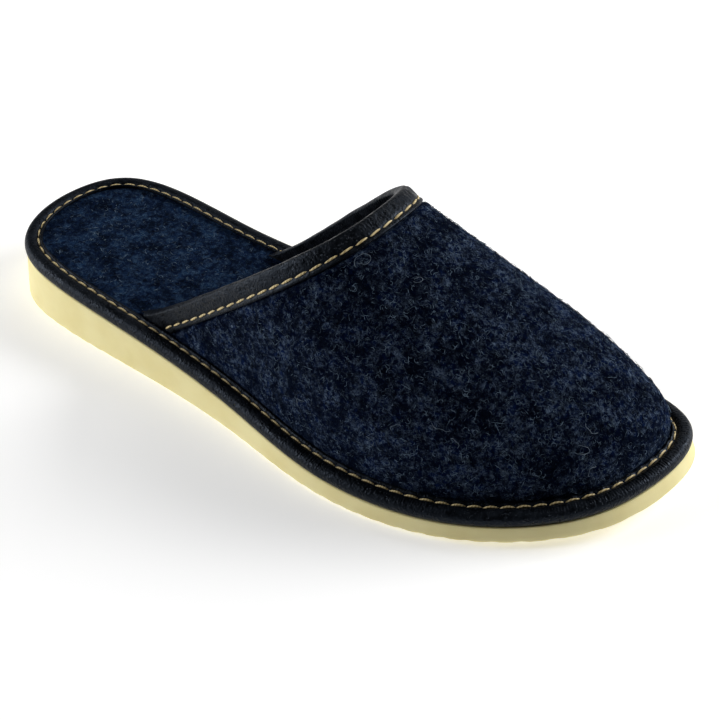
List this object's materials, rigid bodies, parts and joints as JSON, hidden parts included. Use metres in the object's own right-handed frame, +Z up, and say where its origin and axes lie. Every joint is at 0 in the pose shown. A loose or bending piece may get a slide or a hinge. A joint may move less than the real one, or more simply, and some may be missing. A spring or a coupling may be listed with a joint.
{
  "type": "felt slipper",
  "caption": "Backless felt slipper for the right foot, with a foam wedge sole, a felt footbed bound by a stitched leather rand, and a leather-edged vamp.",
  "frame": {"origin": "under the middle of the sole's outline, on the floor", "axes": "+X towards the toe, +Y towards the wearer's left, +Z up"},
  "size_m": [0.288, 0.1082, 0.0852],
  "materials": {
    "sole_foam": "matt cream moulded foam",
    "footbed_felt": "dark blue melange felt",
    "leather": "semi-matt black leather",
    "felt": "hairy navy melange felt",
    "thread": "beige sewing thread",
    "lining": "black lining cloth"
  },
  "bodies": {
    "root": {"outsole": "sole_foam", "insole": "footbed_felt", "rand": "leather", "upper": "felt", "collar_binding": "leather"}
  },
  "joints": []
}
